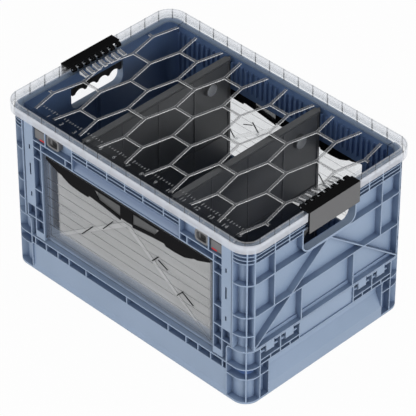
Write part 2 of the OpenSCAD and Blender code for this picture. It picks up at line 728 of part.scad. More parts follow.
// Clear door in the front window, hinged along its lower edge
module door() {
    half = window_half - door_gap;
    y0 = -half_wid + long_set + door_out;
    y1 = y0 + door_frame_t;
    z1 = window_top - door_gap;
    mid = (y0 + y1) / 2;
    rib_low = door_low + door_rib_rise;
    foot = [half - door_frame_w, door_low + door_frame_w + door_frame_w];
    crown = door_crown;
    color(clear_tint) {
        difference() {
            union() {
                difference() {
                    // frame with a barrel along its lower edge
                    translate([-half, 0, 0]) rotate([90, 0, 90]) linear_extrude(2 * half) {
                        translate([y0, door_pin_z]) square([door_frame_t, z1 - door_pin_z]);
                        translate([mid, door_pin_z]) circle(door_frame_t / 2);
                    }
                    box([-half + door_frame_w, y0 - over, foot[1]],
                        [half - door_frame_w, mid - door_t / 2, z1 - door_head_w]);
                    box([-half + door_frame_w, mid + door_t / 2, foot[1]],
                        [half - door_frame_w, y1 + over, z1 - door_head_w]);
                }
                for (z = [rib_low : door_rib_pitch : crown[1]])
                    box([-half + door_frame_w / 2, mid - door_t / 2 - door_rib_t, z],
                        [half - door_frame_w / 2, mid, z + door_rib_t]);
                // braces from the lower corners to the middle of the top
                for (s = [0, 1]) mirror([s, 0, 0]) translate([0, mid, 0]) rotate([90, 0, 0])
                    linear_extrude(door_t / 2 + door_brace_h)
                        polygon([crown, [crown[0] + door_brace_w, crown[1]],
                                 [foot[0] + over, foot[1] + over], [foot[0] + over, foot[1] - over],
                                 [foot[0] - over, foot[1] - over], [crown[0] - door_brace_w, crown[1]]]);
                // hooks on the inside of the braces
                for (s = hook_shares)
                    pair_x([s * foot[0] - hook_w / 2, mid, crown[1] - s * (crown[1] - foot[1]) - hook_t],
                           [s * foot[0] + hook_w / 2, y1 + hook_reach, crown[1] - s * (crown[1] - foot[1])]);
            }
            // holes for the catch's studs
            for (sx = [-1, 1])
                rod_y(y0 - over, y1 + over, sx * half * stud_share, stud_z, stud_r + gap);
        }
        for (sx = [-1, 1]) {
            rod_x(sx > 0 ? half - door_frame_w : -window_half - door_pin_reach,
                  sx > 0 ? window_half + door_pin_reach : -half + door_frame_w,
                  -door_pin_y, door_pin_z, door_pin_r);
        }
    }
}

// Where the door's braces meet under the catch
crown_drop = 42;
door_crown = [0, window_top - door_gap - crown_drop];

// Black bow-shaped spring catch along the top of the door, on both of its faces
catch_h = 32;             // height of the spring's bow
catch_bar = 6;            // height of the bar along the top
bow_x_shares = [0.985, 0.85, 0.6, 0.3, 0.075];
bow_drop_shares = [0, 0.36, 0.55, 0.74, 0.94];
bow_t = 7;
web_x_shares = [0.99, 0.85, 0.6, 0.335, 0.40];      // black web between the bow and the bar
web_drop_shares = [0.1, 0.36, 0.55, 0.72, 0.15];
leaf_x_shares = [0.88, 0.78, 0.70, 0.58, 0.475, 0.43, 0.5, 0.62, 0.80];
leaf_drop_shares = [0.30, 0.72, 0.93, 1, 1, 0.62, 0.66, 0.6, 0.30];
catch_block_half = 15.5;
stud_share = 0.22;
stud_r = 2.5;
stud_z = window_top - door_gap - door_head_w - gap - catch_bar / 2;

// Outline of the catch on one face of the door
module catch_outline() {
    half = window_half - door_gap - door_frame_w - gap;
    top = window_top - door_gap - door_head_w - gap;
    n = len(bow_x_shares);
    m = len(leaf_x_shares);
    translate([-half, top - catch_bar]) square([2 * half, catch_bar]);
    translate([-catch_block_half, top - catch_h]) square([2 * catch_block_half, catch_h - catch_bar / 2]);
    for (s = [0, 1]) mirror([s, 0]) {
        polygon(concat([for (i = [0 : n - 1]) [half * bow_x_shares[i], top - catch_h * bow_drop_shares[i]]],
                       [for (i = [n - 1 : -1 : 0])
                           [half * bow_x_shares[i], top - catch_h * bow_drop_shares[i] - bow_t]]));
        polygon([for (i = [0 : m - 1]) [half * leaf_x_shares[i], top - catch_h * leaf_drop_shares[i]]]);
        polygon([for (i = [0 : len(web_x_shares) - 1])
            [half * web_x_shares[i], top - catch_h * web_drop_shares[i]]]);
    }
}

module door_catch() {
    mid = -door_pin_y;
    depth = door_frame_t / 2 - door_t / 2 - gap - gap;
    half = window_half - door_gap;
    color(black) {
        for (y = [mid - door_t / 2 - gap, mid + door_t / 2 + gap + depth])
            translate([0, y, 0]) rotate([90, 0, 0]) linear_extrude(depth) catch_outline();
        for (sx = [-1, 1])
            rod_y(mid - door_t / 2 - gap - depth / 2, mid + door_t / 2 + gap + depth / 2,
                  sx * half * stud_share, stud_z, stud_r);
    }
}

// Sliding latch in the front wall's +X half, locked at rest
module wall_latch() {
    y_back = -bolt_back;
    y_bolt = -bolt_back - bolt_t;
    y_plate = y_bolt - slide_gap;
    y_ring = -half_wid + long_set + over;
    color(grey) {
        box([ring_in, y_bolt, bolt_low], [long_end + bolt_reach, y_back, bolt_high]);
        difference() {
            union() {
                box([latch_plate_in, y_plate - rib_t, latch_plate_low],
                    [latch_plate_out, y_back, latch_plate_high]);
                pill(0, y_ring, y_back);
            }
            pill(ring_lip, y_ring - over, y_bolt);
        }
    }
}

// Finger ring's outline, made smaller by the amount given, between two depths
module pill(inset, y_from, y_to) {
    r = ring_r - inset / 2;
    x0 = ring_in + inset;
    x1 = ring_out - inset;
    z0 = latch_plate_low + inset;
    z1 = latch_plate_high - inset;
    translate([0, y_to, 0]) rotate([90, 0, 0]) linear_extrude(y_to - y_from) {
        translate([x0 + r, z0]) square([x1 - x0 - 2 * r, z1 - z0]);
        translate([x0, z0 + r]) square([x1 - x0, z1 - z0 - 2 * r]);
        for (x = [x0 + r, x1 - r], z = [z0 + r, z1 - r]) translate([x, z]) circle(r);
    }
}

ring_lip = 4;
ring_r = 6;
mark_w = 12;
mark_h = 3;
mark_t = 0.6;

// Red mark on the latch's plate
module latch_mark() {
    y_face = -bolt_back - bolt_t - slide_gap - rib_t;
    color(red) box([latch_plate_in + mark_h, y_face - mark_t, latch_plate_low],
                   [latch_plate_in + mark_h + mark_w, y_face, latch_plate_low + mark_h]);
}

// Lift-out divider, drawn at X = 0
module divider() {
    t = divider_t / 2;
    rib = t + divider_rib_h;
    flange_half = divider_half - comb_depth + over / 2;
    low = divider_low;
    body_top = divider_top - flange_t;
    mid_z = (low + body_top) / 2;
    color(dark_grey) difference() {
        union() {
            box([-t, -divider_half, low], [t, divider_half, divider_top]);
            box([-flange_w / 2, -flange_half, body_top], [flange_w / 2, flange_half, divider_top]);
            for (z = [low, mid_z, body_top - divider_rib_t * 4])
                box([-rib, -flange_half, z], [rib, flange_half, z + divider_rib_t]);
            for (y = [-flange_half, -flange_half / 2, 0, flange_half / 2, flange_half - divider_rib_t])
                box([-rib, y, low], [rib, y + divider_rib_t, body_top]);
            translate([-ring_len / 2, ring_hole_y, ring_hole_z]) rotate([0, 90, 0])
                cylinder(h = ring_len, r = ring_hole_r + ring_wall);
        }
        translate([-ring_len / 2 - over, ring_hole_y, ring_hole_z]) rotate([0, 90, 0])
            cylinder(h = ring_len + over + over, r = ring_hole_r);
    }
}

// One cell of the honeycomb, made smaller by half a rib all round
module hex_cell(row, side, link) {
    n = norm([row, side - link]);
    r = hex_rib / 2;
    wide = side - r * n / row;
    narrow = link - r * (n - (side - link)) / row;
    polygon([[wide, 0], [narrow, row - r], [-narrow, row - r],
             [-wide, 0], [-narrow, -row + r], [narrow, -row + r]]);
}

// Ring of the lid's rim between two set-backs from its outer edge
module rim(set0, set1, z0, z1) {
    difference() {
        block(set0 - lid_out, z0, z1);
        block(set1 - lid_out, z0 - over, z1 + over);
    }
}

// Number of gussets on each side of the middle, along the straight parts of the rim
gusset_nx = floor((half_len - corner_r) / gusset_pitch + 0.5);
gusset_ny = floor((half_wid - corner_r) / gusset_pitch + 0.5);

// Clear lid
module lid() {
    side = (hex_pitch - hex_link) / 2;
    link = hex_link / 2;
    n = ceil(half_len / hex_pitch) * 2;
    rows = ceil(half_wid / hex_row) - 1;
    band_top = lid_top - band_drop;
    color(clear_tint) difference() {
        union() {
            rim(0, skirt_t, skirt_low, lid_top);
            rim(skirt_t / 2, ridge_in, lid_low, lid_plate_top);
            rim(ridge_out, ridge_in, lid_low, lid_top);
            rim(ridge_in - skirt_t / 2, band_w, band_top - band_t, band_top);
            rim(band_w - band_t, band_w, lid_low, band_top);
            block(band_w - band_t / 2 - lid_out, lid_low, lid_plate_top);
            // honeycomb
            translate([0, 0, lid_plate_top - hex_h / 2]) linear_extrude(hex_h * 1.5) difference() {
                plan(band_w - band_t / 2 - lid_out);
                for (i = [-n : n], j = [-rows : rows])
                    if ((i + j) % 2 == 0)
                        translate([i * hex_pitch / 2, j * hex_row]) hex_cell(hex_row, side, link);
            }
            // gussets across the channel
            for (i = [0.5 - gusset_nx : gusset_nx - 0.5])
                pair_y([i * gusset_pitch - gusset_t / 2, half_wid + lid_out - ridge_in + gap, lid_low],
                       [i * gusset_pitch + gusset_t / 2, half_wid + lid_out - gap, lid_top]);
            for (i = [0.5 - gusset_ny : gusset_ny - 0.5])
                pair_x([half_len + lid_out - ridge_in + gap, i * gusset_pitch - gusset_t / 2, lid_low],
                       [half_len + lid_out - gap, i * gusset_pitch + gusset_t / 2, lid_top]);
        }
        // notches for the lid latches
        for (s = [0, 1]) mirror([s, 0, 0]) {
            box([axis_x - knuckle_r - gap, -notch_half, lid_plate_top],
                [half_len + lid_out + over, notch_half, lid_top + over]);
            box([half_len + gap + gap, -notch_half, skirt_low - over],
                [half_len + lid_out + over, notch_half, lid_plate_top + over]);
        }
    }
    color(clear_tint) for (s = [0, 1]) mirror([s, 0, 0]) lid_knuckles();
}

knuckle_pitch = 2 * (knuckle_w + slide_gap);

// Clear knuckles of the lid between the fingers of a lid latch
module lid_knuckles() {
    for (i = [0 : knuckle_n - 2]) {
        y = (i - (knuckle_n - 2) / 2) * knuckle_pitch;
        difference() {
            union() {
                rod_y(y - knuckle_w / 2, y + knuckle_w / 2, axis_x, axis_z, knuckle_r);
                translate([0, y + knuckle_w / 2, 0]) rotate([90, 0, 0]) linear_extrude(knuckle_w)
                    polygon([[axis_x - knuckle_foot, lid_plate_top - lid_t / 2],
                             [axis_x + knuckle_r, lid_plate_top - lid_t / 2],
                             [axis_x + knuckle_r, axis_z], [axis_x - knuckle_r, axis_z],
                             [axis_x - knuckle_foot, lid_plate_top + lid_t]]);
            }
            rod_y(y - knuckle_w, y + knuckle_w, axis_x, axis_z, latch_pin_r + pin_fit);
        }
    }
}

// Black lid latch at the +X end
module lid_latch() {
    top = axis_z + knuckle_r;
    face = half_len + lid_out + flap_out;
    color(black) difference() {
        union() {
            box([axis_x + knuckle_r + slide_gap, -latch_half, top - latch_plate_t], [face, latch_half, top]);
            box([face - flap_t, -latch_half, flap_low], [face, latch_half, top]);
            for (i = [0 : knuckle_n - 1]) {
                y = (i - (knuckle_n - 1) / 2) * knuckle_pitch;
                rod_y(y - knuckle_w / 2, y + knuckle_w / 2, axis_x, axis_z, knuckle_r);
                box([axis_x, y - knuckle_w / 2, top - latch_plate_t],
                    [axis_x + knuckle_r + slide_gap + over, y + knuckle_w / 2, top]);
            }
        }
        rod_y(-latch_half - over, latch_half + over, axis_x, axis_z, latch_pin_r + pin_fit);
    }
}

module lid_latch_pin() {
    half = (knuckle_n - 1) / 2 * knuckle_pitch + knuckle_w / 2;
    color(steel) rod_y(-half, half, axis_x, axis_z, latch_pin_r);
}

// Black finger grip under the top bar of the hand hole at the +X end
module hand_grip() {
    x0 = inner_x + gap;
    color(black) difference() {
        box([x0, -grip_half, grip_low], [x0 + grip_t, grip_half, hand_top - gap]);
        for (i = [0 : finger_n - 1])
            translate([x0 - over, (i - (finger_n - 1) / 2) * finger_pitch, grip_low - finger_r / 2])
                rotate([0, 90, 0]) cylinder(h = grip_t + over + over, r = finger_r);
    }
}

module turned() {
    rotate([0, 0, 180]) children();
}

base_tray();
long_wall();  // front_wall
turned() long_wall();  // rear_wall
end_wall();  // left_end_wall
turned() end_wall();  // right_end_wall
long_pins();  // front_hinge_pins
turned() long_pins();  // rear_hinge_pins
end_pins();  // left_hinge_pins
turned() end_pins();  // right_hinge_pins
door();  // front_door
turned() door();  // rear_door
door_catch();  // front_door_catch
turned() door_catch();  // rear_door_catch
mirror([1, 0, 0]) wall_latch();  // front_left_latch
wall_latch();  // front_right_latch
turned() wall_latch();  // rear_left_latch
mirror([0, 1, 0]) wall_latch();  // rear_right_latch
mirror([1, 0, 0]) latch_mark();  // front_left_latch_mark
latch_mark();  // front_right_latch_mark
turned() latch_mark();  // rear_left_latch_mark
mirror([0, 1, 0]) latch_mark();  // rear_right_latch_mark
translate([divider_x[0], 0, 0]) divider();  // left_divider
translate([divider_x[1], 0, 0]) divider();  // right_divider
lid();
turned() lid_latch();  // left_lid_latch
lid_latch();  // right_lid_latch
turned() lid_latch_pin();  // left_latch_pin
lid_latch_pin();  // right_latch_pin
turned() hand_grip();  // left_hand_grip
hand_grip();  // right_hand_grip
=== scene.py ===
# %% [markdown]
# # A folding storage crate, dressed in Blender
# The crate arrives as a CAD frame: every moulding is already the right shape and
# stands where it belongs. It could be modelled again here by hand, but then the
# joints and the fits would have to be made twice. So this lesson keeps the frame's
# meshes and gives them what a CAD file lacks: plastics that catch the light, a
# ruler printed along the lid, and the studio round it.

# %% Load the frame
import bmesh
import bpy
import math
from mathutils import Matrix, Vector


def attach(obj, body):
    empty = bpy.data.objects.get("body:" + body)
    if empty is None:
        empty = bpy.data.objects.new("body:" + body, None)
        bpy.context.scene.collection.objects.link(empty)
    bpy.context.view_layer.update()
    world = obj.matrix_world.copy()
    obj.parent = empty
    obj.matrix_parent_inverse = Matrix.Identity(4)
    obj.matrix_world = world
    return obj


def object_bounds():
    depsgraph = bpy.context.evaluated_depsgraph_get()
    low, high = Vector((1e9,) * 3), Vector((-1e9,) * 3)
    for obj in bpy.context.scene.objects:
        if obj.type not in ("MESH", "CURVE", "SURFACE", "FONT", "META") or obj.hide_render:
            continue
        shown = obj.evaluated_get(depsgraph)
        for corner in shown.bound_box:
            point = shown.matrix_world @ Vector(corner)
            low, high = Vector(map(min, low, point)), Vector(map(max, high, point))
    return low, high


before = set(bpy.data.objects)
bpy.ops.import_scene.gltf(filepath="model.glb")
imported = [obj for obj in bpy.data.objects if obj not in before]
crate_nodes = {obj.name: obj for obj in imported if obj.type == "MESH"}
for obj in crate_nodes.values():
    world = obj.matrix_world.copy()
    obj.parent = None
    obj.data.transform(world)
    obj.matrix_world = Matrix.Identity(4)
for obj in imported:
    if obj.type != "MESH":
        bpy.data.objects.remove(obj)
scene = bpy.context.scene
cad_bounds = [list(corner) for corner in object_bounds()]
size_mm = [round((high - low) * 1000) for low, high in zip(*cad_bounds)]
print(len(crate_nodes), "nodes, size in mm", size_mm)

# %% [markdown]
# ## The camera
# The picture is taken with a long lens from above the front right corner, so the
# upright edges lean very little. A camera can be placed by eye, or by a lens, a
# distance and two angles that were fitted to the crate's own edges. The second way
# is used, because then every rib falls on its place in the picture.

# %% Camera
picture_px = 416
sensor_mm = 36.0
focal_px = 2889.38
camera_turn = math.radians(44.905)
camera_rise = math.radians(38.335)
look_at = Vector((-0.013792, 0.016954, 0.150))
camera_back = Vector((math.sin(camera_turn) * math.cos(camera_rise),
                      -math.cos(camera_turn) * math.cos(camera_rise),
                      math.sin(camera_rise)))
camera_distance = 5.26373
camera_data = bpy.data.cameras.new("long_lens")
camera_data.sensor_width = sensor_mm
camera_data.lens = focal_px * sensor_mm / picture_px
camera_data.clip_end = 60
camera = bpy.data.objects.new("camera", camera_data)
scene.collection.objects.link(camera)
camera.location = look_at + camera_back * camera_distance
camera.rotation_euler = (-camera_back).to_track_quat("-Z", "Y").to_euler()
scene.camera = camera
scene.view_settings.view_transform = "Standard"
print("lens in mm", round(camera_data.lens, 1))

# %% [markdown]
# ## Writing shaders as sums
# Plastics are described by sums of masks and patterns. Node by node that is slow to
# read, so a small class wraps a wire of the shader: adding or multiplying two wires
# adds the Math node. Any other node comes from one method that takes the node's
# type, its settings and its sockets.

# %% Shader wires
class Wire:
    """A number on a wire of a shader; Python's operators turn it into Math nodes."""

    def __init__(self, shop, socket):
        self.shop = shop
        self.socket = socket

    def _math(self, operation, first, second):
        return self.shop.add("ShaderNodeMath", {"operation": operation}, {0: first, 1: second}, 0)

    def __add__(self, other):
        return self._math("ADD", self, other)

    def __radd__(self, other):
        return self._math("ADD", other, self)

    def __sub__(self, other):
        return self._math("SUBTRACT", self, other)

    def __rsub__(self, other):
        return self._math("SUBTRACT", other, self)

    def __mul__(self, other):
        return self._math("MULTIPLY", self, other)

    def __rmul__(self, other):
        return self._math("MULTIPLY", other, self)

    def __truediv__(self, other):
        return self._math("DIVIDE", self, other)

    def __gt__(self, other):
        return self._math("GREATER_THAN", self, other)

    def __lt__(self, other):
        return self._math("LESS_THAN", self, other)

    def __abs__(self):
        return self._math("ABSOLUTE", self, 0.0)

    def clamp(self):
        return self.shop.add("ShaderNodeClamp", {}, {"Value": self}, 0)

    def highest(self, other):
        return self._math("MAXIMUM", self, other)

    def lowest(self, other):
        return self._math("MINIMUM", self, other)

    def fraction(self):
        """What is left over after the whole number."""
        return self._math("FRACT", self, 0.0)

    def ramp(self, low, high):
        """0 below low, 1 above high, and smooth between them."""
        return self.shop.add("ShaderNodeMapRange", {"interpolation_type": "SMOOTHSTEP"},
                             {"Value": self, "From Min": low, "From Max": high}, 0)


class Finish:
    """One material and its nodes."""

    def __init__(self, name):
        self.material = bpy.data.materials.new(name)
        self.material.use_nodes = True
        self.tree = self.material.node_tree
        self.tree.nodes.clear()
        self.output = self.tree.nodes.new("ShaderNodeOutputMaterial")

    def add(self, kind, settings, sockets, output=None):
        """Adds a node; sockets are values or wires, and the answer is one output as a wire."""
        node = self.tree.nodes.new(kind)
        for key, value in settings.items():
            setattr(node, key, value)
        for key, value in sockets.items():
            socket = node.inputs[key]
            if isinstance(value, Wire):
                self.tree.links.new(value.socket, socket)
            elif isinstance(value, tuple) and len(value) == 3 and socket.type == "RGBA":
                socket.default_value = (*value, 1.0)
            else:
                socket.default_value = value
        if output is None:
            return node
        return Wire(self, node.outputs[output])

    def place(self):
        """Object coordinates, and their three parts."""
        point = self.add("ShaderNodeTexCoord", {}, {}, "Object")
        parts = self.add("ShaderNodeSeparateXYZ", {}, {"Vector": point})
        return point, [Wire(self, parts.outputs[i]) for i in range(3)]

    def noise(self, point, scale, detail=2.0, stretch=None):
        """Soft noise from 0 to 1, scale in waves a metre."""
        if stretch:
            point = self.add("ShaderNodeMapping", {}, {"Vector": point, "Scale": stretch}, 0)
        return self.add("ShaderNodeTexNoise", {},
                        {"Vector": point, "Scale": scale, "Detail": detail}, 0)

    def blend(self, factor, first, second):
        """A colour that goes from first to second with the factor."""
        node = self.add("ShaderNodeMix", {"data_type": "RGBA"}, {})
        for index, value in ((0, factor), (6, first), (7, second)):
            if isinstance(value, Wire):
                self.tree.links.new(value.socket, node.inputs[index])
            elif isinstance(value, tuple):
                node.inputs[index].default_value = (*value, 1.0)
            else:
                node.inputs[index].default_value = value
        return Wire(self, node.outputs[2])

    def soft_edges(self, radius):
        """The surface's direction with its sharp edges rounded off."""
        return self.add("ShaderNodeBevel", {"samples": 4}, {"Radius": radius}, 0)

    def edge_mask(self, rounded):
        """1 along the edges that soft_edges has rounded, 0 on the flats."""
        flat = self.add("ShaderNodeNewGeometry", {}, {}, "Normal")
        same = self.add("ShaderNodeVectorMath", {"operation": "DOT_PRODUCT"},
                        {0: rounded, 1: flat}, "Value")
        return (1.0 - same).ramp(0.01, 0.22)

    def depth_in(self, reach):
        """1 deep in a corner of the piece itself, 0 out in the open."""
        open_sky = self.add("ShaderNodeAmbientOcclusion", {"samples": 6, "only_local": True},
                            {"Distance": reach}, "AO")
        return 1.0 - open_sky

    def facing(self):
        """The three parts of the surface's direction."""
        flat = self.add("ShaderNodeNewGeometry", {}, {}, "Normal")
        parts = self.add("ShaderNodeSeparateXYZ", {}, {"Vector": flat})
        return [Wire(self, parts.outputs[i]) for i in range(3)]

    def from_middle(self, x, y, half_x, half_y):
        """How far a point lies outside an upright rectangle round the origin.

        Off the rectangle's corners the distance is taken to the corner."""
        past = self.add("ShaderNodeCombineXYZ", {}, {
            "X": (abs(x) - half_x).highest(0.0), "Y": (abs(y) - half_y).highest(0.0)}, 0)
        return self.add("ShaderNodeVectorMath", {"operation": "LENGTH"}, {0: past}, "Value")

    def hides_light(self):
        """1 for the rays that carry light into the crate, 0 for those that look into it."""
        path = self.add("ShaderNodeLightPath", {}, {})
        shadow = Wire(self, path.outputs["Is Shadow Ray"])
        return shadow.highest(Wire(self, path.outputs["Is Diffuse Ray"]))

    def band(self, value, low, high, soft):
        """1 where the value lies between low and high."""
        return value.ramp(low - soft, low + soft).lowest(1.0 - value.ramp(high - soft, high + soft))

    def grain(self, height, distance, normal):
        return self.add("ShaderNodeBump", {},
                        {"Height": height, "Distance": distance, "Normal": normal}, 0)

    def surface(self, shader):
        self.tree.links.new(shader.socket, self.output.inputs["Surface"])
        return self.material


print("shader helpers ready")

# %% [markdown]
# ## Blue polypropylene
# The walls and the tray are injection moulded in one grey-blue plastic. It has a
# satin face, fine grain from the mould, and slightly rounded rib edges that catch
# the light. Real roundings on hundreds of ribs would cost a lot of mesh, so the
# Bevel node rounds the shading instead, and its mask gives the thin edges a
# painted highlight, a little paler. Deep cells and faces that look down get
# painted shade, tinted darker by how shut in they are, and so does the long
# channel over the window. The inner faces take a deep blue painted shade, for the
# dim light in a closed crate, where the plastic throws its own colour back and forth.

# %% Blue plastic
corner_x = 0.270  # the middles of the crate's rounded corners
corner_y = 0.174
# the inner faces' painted deep blue shade lies within this reach and over this height
inner_reach = 0.0152  # outwards of those middles, a little past the walls' inner faces
inner_low_z = 0.012  # a little over the tray's floor
channel_low_z = 0.2887  # the long channel over the window
channel_high_z = 0.3165
channel_half = 0.1353
channel_fade_z = 0.2890  # the channel's shade deepens from here, over this height
channel_fade = 0.0100


def blue_polypropylene():
    finish = Finish("blue_polypropylene")
    point, (x, y, z) = finish.place()
    rounded = finish.soft_edges(0.0012)
    edge = finish.edge_mask(rounded)
    cloud = finish.noise(point, 9.0, 3.0)
    speck = finish.noise(point, 900.0, 1.0)
    body = finish.blend(cloud.ramp(0.3, 0.7), (0.272, 0.352, 0.478), (0.292, 0.374, 0.506))
    outwards = finish.from_middle(x, y, corner_x, corner_y)
    # painted shade: the inner faces are tinted a deep blue
    inner = (inner_reach - outwards).ramp(0.0, 0.0006) * (z - inner_low_z).ramp(0.0, 0.002)
    # painted shade along the long channel over the window, deepening towards its top
    channel = finish.band(z, channel_low_z, channel_high_z, 0.0003)
    channel = channel * (channel_half - abs(x)).ramp(0.0, 0.0005)
    channel = channel * (0.42 + (z - channel_fade_z).ramp(0.0, channel_fade) * 0.40)
    # painted shade: faces that look down and deep corners of the piece are tinted darker
    downwards = (0.0 - finish.facing()[2]).ramp(0.1, 0.6)
    deep = finish.depth_in(0.045).ramp(0.12, 0.85).highest(downwards * 0.8)
    deep = deep.highest(channel) * (1.0 - inner)
    cells = finish.blend(deep * 0.85, body, (0.055, 0.100, 0.205))
    shaded = finish.blend(inner * 0.95, cells, (0.175, 0.285, 0.530))
    # painted highlight: the thin edges are blended towards a paler blue
    colour = finish.blend(edge * (0.42 - inner * 0.2), shaded, (0.44, 0.52, 0.65))
    normal = finish.grain(speck, 0.00004, rounded)
    roughness = 0.36 + cloud * 0.06 + speck * 0.05
    return finish.surface(finish.add("ShaderNodeBsdfPrincipled", {}, {
        "Base Color": colour, "Roughness": roughness, "Normal": normal,
        "Specular IOR Level": 0.4}, 0))


blue_plastic = blue_polypropylene()
print("made", blue_plastic.name)

# %% [markdown]
# ## Clear plastic for the lid
# The lid is one clear moulding. Glass with true refraction would darken and shake
# behind so many thin ribs, so it is made as a thin sheet: mostly transparent, with
# a shiny coat that grows at grazing angles and along the edges. The crests of the
# hexagon ribs carry painted shade, with a painted white highlight on their edges
# and sides. The skirt round the rim is milky, has a fine mark at the pitch of its
# gussets, a painted shadow in the groove behind its top, and a faint painted glow
# that stands in for the light clear plastic leads to its edges. A rounded distance
# from the middle says where each zone begins. For the rays that carry light into the
# crate the lid is about one third solid, so the inside is as dim as in the picture.

# %% Clear plastic of the lid
ribs_end = 0.0045  # zones of the lid, outwards of the corners' middles
rim_start = 0.0250
strip_start = 0.0262
strip_end = 0.0352
# the groove's painted shadow lies between strip_end and here
groove_end = 0.0364
skirt_face = 0.0368
sheet_top_z = 0.35195
gusset_pitch = 0.036
strip_lines = 420.0  # fine lines along the rim's strip, in lines a metre
lid_shade = 0.34  # how solid the lid is to the rays that carry light


def clear_lid():
    finish = Finish("clear_lid_plastic")
    point, (x, y, z) = finish.place()
    rounded = finish.soft_edges(0.0014)
    edge = finish.edge_mask(rounded)
    up = finish.facing()[2]
    outwards = finish.from_middle(x, y, corner_x, corner_y)
    rim = outwards.ramp(rim_start, rim_start + 0.0005)
    skirt = outwards.ramp(skirt_face, skirt_face + 0.0004) * (1.0 - abs(up).ramp(0.4, 0.7))
    strip = finish.band(outwards, strip_start, strip_end, 0.0002) * up.ramp(0.6, 0.9)
    lines = abs((outwards * strip_lines).fraction() - 0.5).ramp(0.18, 0.30)
    hexagons = (z - sheet_top_z).ramp(0.0, 0.0002)
    hexagons = hexagons * (1.0 - outwards.ramp(ribs_end, ribs_end + 0.001))
    gloss = finish.add("ShaderNodeLayerWeight", {}, {"Blend": 0.14}, "Fresnel")
    cloud = finish.noise(point, 30.0, 2.0)
    clear = finish.add("ShaderNodeBsdfTransparent", {}, {"Color": (0.97, 0.976, 0.983)}, 0)
    # painted highlight on the ribs' edges and sides; the crests keep a painted dark shade
    rib_highlight = edge.ramp(0.03, 0.35).highest(1.0 - up.ramp(0.2, 0.8))
    crest = finish.blend(rib_highlight, (0.24, 0.245, 0.255), (0.95, 0.955, 0.96))
    panel = finish.blend(hexagons, (0.05, 0.052, 0.056), crest)
    marks = finish.band(((x + y) / gusset_pitch).fraction(), 0.46, 0.54, 0.02) * rim
    # painted shadow in the groove behind the skirt's top
    groove_shadow = finish.band(outwards, strip_end, groove_end, 0.0001) * up.ramp(0.4, 0.8)
    # painted shade as dark lines along the edges, with the gusset marks and the groove's painted
    # shadow
    dark_lines = (edge * 0.6).highest(marks).highest(groove_shadow) * (1.0 - skirt * 0.6)
    frosted = finish.blend(skirt, (0.86, 0.86, 0.86), (0.56, 0.58, 0.63))
    milky = finish.blend(dark_lines, frosted, (0.16, 0.16, 0.165))
    # painted glow: the rim emits a little light of its own, standing in for light led to its edges
    glow = finish.blend(rim * (1.0 - dark_lines), (0.0, 0.0, 0.0), (0.26, 0.265, 0.275))
    body = finish.add("ShaderNodeBsdfPrincipled", {}, {
        "Base Color": finish.blend(rim, panel, milky),
        "Roughness": 0.14 + cloud * 0.05 + rim * 0.18,
        "Emission Color": glow, "Emission Strength": 1.0,
        "Normal": rounded, "Specular IOR Level": 0.45}, 0)
    seen = (0.006 + gloss * 0.12 + edge * (0.20 + hexagons * 0.6) + hexagons * (0.78 - up * 0.28)
            + strip * lines * 0.34 + skirt * 0.48 + marks * 0.25 + groove_shadow * 0.45
            + rim * 0.03).clamp()
    solid = seen.highest(finish.hides_light() * lid_shade)
    return finish.surface(finish.add("ShaderNodeMixShader", {}, {0: solid, 1: clear, 2: body}, 0))


lid_plastic = clear_lid()
print("made", lid_plastic.name)

# %% [markdown]
# ## Clear plastic for the doors
# The doors are clear too, but their many ribs and scuffs leave a grey haze over
# them. The haze is part of the material here: a share of it is a dull, pale
# surface, and the rest lets the view through. It is weaker low down, where the
# tray shows through the window, and the two openings of the catch are tinted
# darker. The ribs' edges carry painted shade: dark lines, as in a clear moulding
# seen from aslant.

# %% Clear plastic of the doors
window_low_z = 0.1080
window_high_z = 0.2740
window_left = -0.1800
window_right = 0.2080
haze_low_z = 0.1160  # the haze grows to its full strength between these heights
haze_full_z = 0.1280
brace_inner = 0.1989  # depths between which the braces' faces lie
brace_outer = 0.2000
opening_half = 0.0750  # the catch's two openings, and where they end below
opening_low_z = 0.2449
opening_high_z = 0.2760
opening_slope = 0.14  # their lower edge rises outwards
door_shade = 0.5  # how solid a door is to the rays that carry light


